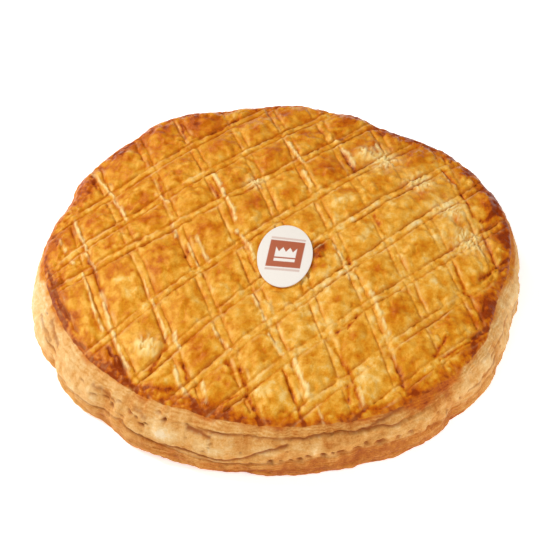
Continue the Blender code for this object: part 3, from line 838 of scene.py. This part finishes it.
def side_meshes():
    """The side in two meshes, above and below the seam between the two sheets of dough."""
    angle = np.arange(COLUMNS) * 360 / COLUMNS
    turn = angle / 360
    rim = ragged_rim(angle) - RIM_INSETS[-1]
    edge_x, edge_y = placed(angle, rim)
    lip = crust(edge_x, edge_y)[0]
    groove = lip - LIP_STRIP - 0.9 * noise(turn * 13, 0.5, 21, 13)
    groove = groove - 0.35 * noise(turn * 60, 0.5, 22, 60)
    degrees, seam_at, seam_share = zip(*SEAM_LINE)
    seam = np.interp(angle, degrees, seam_at) + 0.4 * noise(turn * 34, 0.5, 23, 34)
    seam = seam + 0.25 * noise(turn * 140, 0.5, 24, 140)
    z = side_rows(lip, groove, seam)
    angle = np.broadcast_to(angle, z.shape)
    turn = angle / 360
    height, share = zip(*SIDE_PROFILE)
    bulge = side_swell(angle) * np.interp(z / lip, height, share)

    below_lip = np.clip(lip - z, 0, None)
    free = step(below_lip, 0, 1.5)
    in_groove = np.exp(-(((z - groove) / 0.55) ** 2))
    in_seam = np.exp(-(((z - seam) / 0.6) ** 2)) * np.interp(angle, degrees, seam_share)
    groove_depth = np.interp(angle, *zip(*LIP_GROOVE)) * (1 + 0.5 * noise(turn * 45, 0.5, 25, 45))
    lower = step(seam - z, -0.2, 0.8)
    strip = step(z - groove, -0.3, 0.5)
    upper = (1 - lower) * (1 - strip)
    deep, dark, baked = side_marks(angle, z)

    # Layers stand out one over the other like worn steps
    wavy = z + 1.2 * layered(turn * 26, z / 9, 27, 3, 26) + 0.3 * noise(turn * 150, z / 3, 32, 150)
    within_layer = (wavy / LAYER) % 1
    worn = 0.5 + 0.5 * noise(turn * 50, np.floor(wavy / LAYER) * 3.1, 33, 50)
    steps = worn * (eased(np.clip(within_layer / 0.75, 0, 1)) - step(within_layer, 0.75, 1.0))
    streaks = noise(turn * 330, z / 7, 28, 330)
    lumps = layered(turn * 75, z / 6.5, 29, 3, 75)
    flaky = 0.10 + 0.34 * lower + 0.30 * strip
    flaky = flaky + 0.16 * upper * step(noise(turn * 24, z / 8, 34, 24), 0, 0.5)
    rounded = RIM_INSETS[-1] * step(below_lip, 0, 3.5)
    radius = rim + rounded + bulge - groove_depth * in_groove - 0.7 * in_seam
    radius = radius + free * (0.95 * steps * flaky + 0.10 * streaks * upper)
    radius = radius + 0.9 * lumps * step(below_lip, 0, 4) - deep * free
    radius = radius - 1.0 * step(0.9 - z, 0, 0.9) ** 2

    pale = np.interp(angle, *zip(*SIDE_PALE))
    crease = sum(swell(angle, centre, width * 0.7) for centre, width, _ in SIDE_CREASES)
    bake_and_shade = 0.52 + 0.16 * lower * (1 - 0.7 * pale**2) - 0.26 * pale + baked
    # Darker in the hollows between the layers and paler on their outer edges: painted shade and light
    bake_and_shade = bake_and_shade - 0.10 * lumps + 0.16 * (0.5 - steps) * (0.3 + lower + strip) - 0.04 * streaks * upper
    # Darker near the table, partly browning and partly painted shade, and darker in the creases, painted
    # shade
    bake_and_shade = bake_and_shade + 0.12 * step(3.0 - z, 0, 3) + 0.10 * np.clip(crease, 0, 1) * (1 - strip)
    # A line of painted shade in the groove under the lip, darker where the groove is deeper, and the dark
    # seam between the two sheets
    line = np.maximum(in_groove * step(groove_depth, 0.1, 1.2) * 0.9, 0.9 * in_seam)
    values = {
        "bake_and_shade": bake_and_shade,
        "line": np.clip(np.maximum(line, dark), 0, 1),
        "glazed": glaze_share(angle, -below_lip),
    }
    x, y = placed(angle, radius)
    points = np.stack([x, y, z], axis=-1)
    under = points[-1:].copy()
    under[..., :2] *= 1 - 7 / RIM_RADIUS
    under[..., 2] += 0.3
    points = np.concatenate([points, under])
    values = {name: np.concatenate([field, field[-1:]]) for name, field in values.items()}
    border = sum(SIDE_ROWS[:3]) + SIDE_ROWS[3] // 2
    return [grid_mesh(points, values, rows) for rows in (slice(border + 1), slice(border, None))]


def grid_mesh(points, values, rows):
    """Some rows of a grid that closes on itself, as a mesh."""
    points = points[rows]
    index = np.arange(len(points) * COLUMNS).reshape(len(points), COLUMNS)
    beside = np.roll(index, -1, axis=1)
    faces = np.stack([index[:-1], index[1:], beside[1:], beside[:-1]], axis=-1).reshape(-1, 4)
    values = {name: field[rows].ravel() for name, field in values.items()}
    return points.reshape(-1, 3), faces.tolist(), values


def underside_mesh():
    """The baked underside, from the middle out to under the side."""
    rings, columns = 60, 300
    angle = np.arange(columns) * 360 / columns
    edge = ragged_rim(angle) + side_swell(angle) * 0.72 - 4.5
    points = [np.array([[0, 0, 0.35]])]
    faces = []
    for ring in range(1, rings + 1):
        x, y = placed(angle, edge * ring / rings)
        z = 0.25 + 0.12 * layered(x / 7, y / 7, 91)
        points.append(np.column_stack([x, y, z]))
    for i in range(columns):
        j = (i + 1) % columns
        faces.append([0, 1 + j, 1 + i])
        for ring in range(rings - 1):
            a, b = 1 + ring * columns, 1 + (ring + 1) * columns
            faces.append([a + i, a + j, b + j, b + i])
    return np.concatenate(points), faces, {}


# ---------------------------------------------------------------- the label

LABEL_RINGS = 56
LABEL_COLUMNS = 360

PRINT_CENTRE = (0.2, 0.6)    # right and up from the label's middle
PRINT_TURN = -4.5            # degrees from the label's long axis
FIELD_HALF = (8.9, 9.4)
BAR_GAP = 0.9
BAR_HEIGHT = 1.5


def label_print(u, v):
    """Ink on the label, 0 to 1, at millimetres right and up from its middle: a field with a plain
    crown left white in it, and a pale bar above and below it."""
    turn = math.radians(PRINT_TURN)
    u, v = u - PRINT_CENTRE[0], v - PRINT_CENTRE[1]
    u, v = u * math.cos(turn) + v * math.sin(turn), v * math.cos(turn) - u * math.sin(turn)
    wide, tall = FIELD_HALF
    field = np.minimum(step(wide - abs(u), -0.2, 0.2), step(tall - abs(v), -0.2, 0.2))
    points = 3.2 * abs(((u + 5.4) / 3.6) % 1 - 0.5) * 2
    crown_wide = step(5.4 - abs(u), -0.2, 0.2)
    top = step(v + 2.4, -0.2, 0.2) * step(points + 1.4 - v, -0.2, 0.2)
    band = step(v + 5.4, -0.2, 0.2) * step(-3.4 - v, -0.2, 0.2)
    field = field * (1 - crown_wide * np.maximum(top, band))
    from_bar = abs(abs(v) - tall - BAR_GAP - BAR_HEIGHT / 2)
    bars = step(BAR_HEIGHT / 2 - from_bar, -0.2, 0.2) * step(wide - abs(u), -0.2, 0.2)
    return np.maximum(field, 0.4 * bars)


def label_mesh():
    turn = math.radians(LABEL_TURN)
    angle = np.arange(LABEL_COLUMNS) * 2 * math.pi / LABEL_COLUMNS
    rings = [(share, 0.0) for share in np.linspace(0.02, 0.985, 12)]
    rings += [(0.988, 0.0), (0.996, 0.04), (1.0, 0.15)]
    rings += [(1.0, 0.45), (0.996, 0.56), (0.988, 0.6)]
    rings += [(share, 0.6) for share in np.linspace(0.985, 0.02, LABEL_RINGS)]
    points, ink = [], []
    for share, layer in rings:
        u = share * LABEL_SEMI_AXES[0] * np.cos(angle)
        v = share * LABEL_SEMI_AXES[1] * np.sin(angle)
        x = LABEL_CENTRE[0] + u * math.cos(turn) - v * math.sin(turn)
        y = LABEL_CENTRE[1] + u * math.sin(turn) + v * math.cos(turn)
        z = crown(x, y) + TILE_PUFF + LABEL_LIFT + layer / 0.6 * LABEL_THICKNESS
        points.append(np.column_stack([x, y, z]))
        ink.append(label_print(u, v) if layer == 0.6 else 0 * u)
    faces = []
    around = np.arange(LABEL_COLUMNS)
    for ring in range(len(rings) - 1):
        one, two = ring * LABEL_COLUMNS + around, (ring + 1) * LABEL_COLUMNS + around
        faces += np.column_stack([one, np.roll(one, -1), np.roll(two, -1), two]).tolist()
    faces.append(around[::-1].tolist())
    faces.append((around + (len(rings) - 1) * LABEL_COLUMNS).tolist())
    return np.concatenate(points), faces, {"ink": np.concatenate(ink)}


# ---------------------------------------------------------------- materials

def linear(red, green, blue):
    """A colour given as it looks on a screen, 0 to 255, as Blender wants it."""
    def one(value):
        share = value / 255
        return share / 12.92 if share <= 0.04045 else ((share + 0.055) / 1.055) ** 2.4
    return (one(red), one(green), one(blue), 1.0)


class Tree:
    """A new material's nodes, and short ways to add more."""

    def __init__(self, name):
        self.material = bpy.data.materials.new(name)
        self.material.use_nodes = True
        self.tree = self.material.node_tree
        self.shader = self.tree.nodes["Principled BSDF"]

    def add(self, kind, inputs=None, **settings):
        node = self.tree.nodes.new("ShaderNode" + kind)
        for key, value in settings.items():
            setattr(node, key, value)
        self.fill(node, inputs or {})
        return node

    def fill(self, node, inputs):
        for key, value in inputs.items():
            if isinstance(value, bpy.types.NodeSocket):
                self.tree.links.new(value, node.inputs[key])
            else:
                node.inputs[key].default_value = value

    def value(self, name):
        return self.add("Attribute", attribute_name=name).outputs["Fac"]

    def place(self, *stretch):
        """Object coordinates in millimetres, stretched along each axis."""
        spot = self.add("TexCoord").outputs["Object"]
        scale = [share / MM for share in stretch]
        return self.add("Mapping", {"Vector": spot, "Scale": scale}).outputs["Vector"]

    def noise(self, place, feature, detail=3.0, roughness=0.5):
        inputs = {"Vector": place, "Scale": 1 / feature, "Detail": detail, "Roughness": roughness}
        return self.add("TexNoise", inputs).outputs["Fac"]

    def math(self, operation, *values, clamp=False):
        inputs = dict(enumerate(values))
        return self.add("Math", inputs, operation=operation, use_clamp=clamp).outputs["Value"]

    def around_half(self, value, size):
        """Noise from 0 to 1 turned into size times -0.5 to 0.5."""
        return self.math("MULTIPLY_ADD", value, size, -size / 2)

    def total(self, *values):
        result = values[0]
        for value in values[1:]:
            result = self.math("ADD", result, value)
        return result

    def ramp(self, value, stops):
        node = self.add("ValToRGB", {"Fac": value})
        ramp = node.color_ramp
        while len(ramp.elements) < len(stops):
            ramp.elements.new(0.5)
        for element, (position, colour) in zip(ramp.elements, stops):
            element.position = position
            element.color = linear(*colour)
        return node.outputs["Color"]

    def blend(self, share, first, second, mode="MIX"):
        node = self.add("Mix", data_type="RGBA", blend_type=mode)
        self.fill(node, {0: share, 6: first, 7: second})
        return node.outputs[2]

    def bump(self, height, strength, distance, normal=None):
        inputs = {"Height": height, "Strength": strength, "Distance": distance * MM}
        if normal is not None:
            inputs["Normal"] = normal
        return self.add("Bump", inputs).outputs["Normal"]


CRUST_COLOURS = (
    (0.00, (250, 226, 172)), (0.18, (246, 203, 120)), (0.36, (237, 173, 64)),
    (0.54, (221, 143, 30)), (0.72, (204, 109, 12)), (0.88, (184, 84, 12)), (1.00, (146, 54, 10)),
)

DOUGH_COLOURS = (
    (0.00, (250, 222, 178)), (0.20, (241, 196, 130)), (0.42, (224, 160, 82)),
    (0.62, (200, 121, 42)), (0.82, (170, 84, 22)), (1.00, (112, 54, 14)),
)


def glazed_colour(t, place, bake_and_shade):
    """The colour of glazed crust that is baked this much, with any painted shade and light added in."""
    broad = t.noise(place, 5.5, 4.0, 0.6)
    fine = t.noise(place, 1.6, 5.0, 0.65)
    speckle = t.noise(place, 0.6, 3.0, 0.6)
    mottling = (t.around_half(broad, 0.55), t.around_half(fine, 0.42), t.around_half(speckle, 0.22))
    return t.ramp(t.total(bake_and_shade, *mottling), CRUST_COLOURS), broad, fine, speckle


def dough_colour(t, bake_and_shade):
    """The colour of bare flaky dough that is baked this much, with any painted shade and light added in.
    """
    broad = t.noise(t.place(1, 1, 1), 4.0, 4.0, 0.6)
    strata = t.noise(t.place(1, 1, 2.4), 2.6, 4.0, 0.6)
    streaks = t.noise(t.place(1, 1, 0.16), 1.1, 3.0, 0.6)
    fine = t.noise(t.place(1, 1, 1.2), 0.9, 4.0, 0.65)
    mottling = (
        t.around_half(broad, 0.55),
        t.around_half(strata, 0.24),
        t.around_half(streaks, 0.10),
        t.around_half(fine, 0.40),
    )
    return t.ramp(t.total(bake_and_shade, *mottling), DOUGH_COLOURS), broad, strata, fine


def crust_material():
    t = Tree("crust")
    colour, broad, fine, speckle = glazed_colour(t, t.place(1, 1, 1), t.value("bake_and_shade"))
    # Pale torn dough and flakes, partly painted highlight where they face the light
    torn_and_highlight = t.math("MULTIPLY", t.value("pale"), t.math("MULTIPLY_ADD", fine, 1.2, 0.25), clamp=True)
    colour = t.blend(torn_and_highlight, colour, linear(255, 228, 158))
    # Dark cut bottoms: browner pooled glaze and painted shade
    split_and_shadow = t.math("MULTIPLY", t.value("line"), t.math("MULTIPLY_ADD", fine, 1.0, 0.25), clamp=True)
    colour = t.blend(split_and_shadow, colour, linear(200, 106, 12))
    bare_colour = dough_colour(t, 0.46)[0]
    colour = t.blend(t.value("bare"), colour, bare_colour)
    rough = t.math("MULTIPLY_ADD", fine, 0.30, 0.16)
    normal = t.bump(t.total(fine, broad, t.math("MULTIPLY", speckle, 0.3)), 0.4, 0.8)
    t.fill(t.shader, {"Base Color": colour, "Roughness": rough, "Normal": normal})
    t.fill(t.shader, {"Specular IOR Level": 0.34, "Specular Tint": linear(255, 212, 122)})
    return t.material


def side_material():
    t = Tree("side")
    colour, broad, strata, fine = dough_colour(t, t.value("bake_and_shade"))
    glazed_bake_and_shade = t.math("MULTIPLY_ADD", t.value("bake_and_shade"), 0.7, 0.45)
    glazed = glazed_colour(t, t.place(1, 1, 1), glazed_bake_and_shade)[0]
    colour = t.blend(t.value("glazed"), colour, glazed)
    # Dark seam between the sheets, with painted shade in the groove under the lip and in splits and holes
    colour = t.blend(t.value("line"), colour, linear(152, 72, 16))
    normal = t.bump(t.total(strata, fine, broad), 0.6, 0.6)
    t.fill(t.shader, {"Base Color": colour, "Normal": normal})
    t.fill(t.shader, {"Roughness": 0.62, "Specular IOR Level": 0.2})
    return t.material


def underside_material():
    t = Tree("underside")
    place = t.place(1, 1, 1)
    broad = t.noise(place, 14.0, 4.0, 0.6)
    fine = t.noise(place, 1.6, 4.0, 0.65)
    bake_and_shade = t.total(t.around_half(broad, 0.5), t.around_half(fine, 0.3), 0.62)
    t.fill(t.shader, {"Base Color": t.ramp(bake_and_shade, DOUGH_COLOURS), "Roughness": 0.75})
    t.fill(t.shader, {"Normal": t.bump(t.total(fine, broad), 0.4, 0.5)})
    return t.material


def label_material():
    t = Tree("label_paper")
    grain = t.noise(t.place(1, 1, 1), 0.5, 3.0, 0.6)
    white = t.blend(grain, linear(236, 228, 218), linear(246, 239, 230))
    ink = t.blend(grain, linear(170, 84, 50), linear(184, 98, 62))
    t.fill(t.shader, {"Base Color": t.blend(t.value("ink"), white, ink), "Roughness": 0.5})
    t.fill(t.shader, {"Normal": t.bump(grain, 0.08, 0.1)})
    return t.material


def floor_material():
    t = Tree("floor")
    t.fill(t.shader, {"Base Color": linear(250, 250, 250), "Roughness": 0.9})
    t.fill(t.shader, {"Emission Color": (1, 1, 1, 1), "Emission Strength": 0.5})
    return t.material


# ---------------------------------------------------------------- pieces

def add_piece(name, mesh, material, slot, *nodes):
    points, faces, values = mesh
    piece = made_object(name, points, faces, material, values)
    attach(piece, "root")
    if nodes:
        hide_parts(*nodes)


add_piece("crust", crust_mesh(), crust_material(), "crust", "galette")
upper_mesh, lower_mesh = side_meshes()
dough = side_material()
add_piece("side_upper", upper_mesh, dough, "crust")
add_piece("side_lower", lower_mesh, dough, "crust")
add_piece("underside", underside_mesh(), underside_material(), "crust")
add_piece("paper_label", label_mesh(), label_material(), "paper", "label")


# ---------------------------------------------------------------- floor, light and camera

FLOOR_HALF = 3.0         # metres
FLOOR_GAP = 0.0002


def made_floor():
    mesh = bpy.data.meshes.new("floor")
    half = FLOOR_HALF
    corners = [(-half, -half), (half, -half), (half, half), (-half, half)]
    mesh.from_pydata([(x, y, galette_low.z - FLOOR_GAP) for x, y in corners], [], [(0, 1, 2, 3)])
    mesh.materials.append(floor_material())
    made = bpy.data.objects.new("floor", mesh)
    bpy.context.scene.collection.objects.link(made)
    return made


def area_light(name, place, aim, size, power, colour=(1, 1, 1)):
    data = bpy.data.lights.new(name, "AREA")
    data.size = size
    data.energy = power
    data.color = colour
    made = bpy.data.objects.new(name, data)
    made.location = place
    made.rotation_euler = (Vector(aim) - Vector(place)).to_track_quat("-Z", "Y").to_euler()
    bpy.context.scene.collection.objects.link(made)


made_floor()
middle = (0, 0, 0.02)
area_light("key", (-0.85, 0.25, 0.75), middle, 0.26, 9.3, (1.0, 0.985, 0.96))
area_light("shine", (-0.45, 0.75, 0.80), middle, 0.22, 2.6, (1.0, 0.985, 0.96))
area_light("fill", (0.9, -0.5, 0.6), middle, 0.7, 5.6)
area_light("front", (-0.1, -1.0, 1.0), middle, 0.9, 6.0)

world = bpy.data.worlds.new("studio")
world.use_nodes = True
world.node_tree.nodes["Background"].inputs["Color"].default_value = (1, 1, 1, 1)
world.node_tree.nodes["Background"].inputs["Strength"].default_value = 0.12
bpy.context.scene.world = world
bpy.context.scene.view_settings.view_transform = "Standard"

CAMERA_ELEVATION = 44.0
CAMERA_DISTANCE = 0.860
CAMERA_AIM = Vector((-0.00393, -0.00394, 0.017))
camera_data = bpy.data.cameras.new("camera")
camera_data.sensor_width = 36.0
camera_data.lens = 110.08
camera = bpy.data.objects.new("camera", camera_data)
tilt = math.radians(CAMERA_ELEVATION)
camera.location = CAMERA_AIM + CAMERA_DISTANCE * Vector((0, -math.cos(tilt), math.sin(tilt)))
camera.rotation_euler = (math.pi / 2 - tilt, 0, 0)
bpy.context.scene.collection.objects.link(camera)
bpy.context.scene.camera = camera
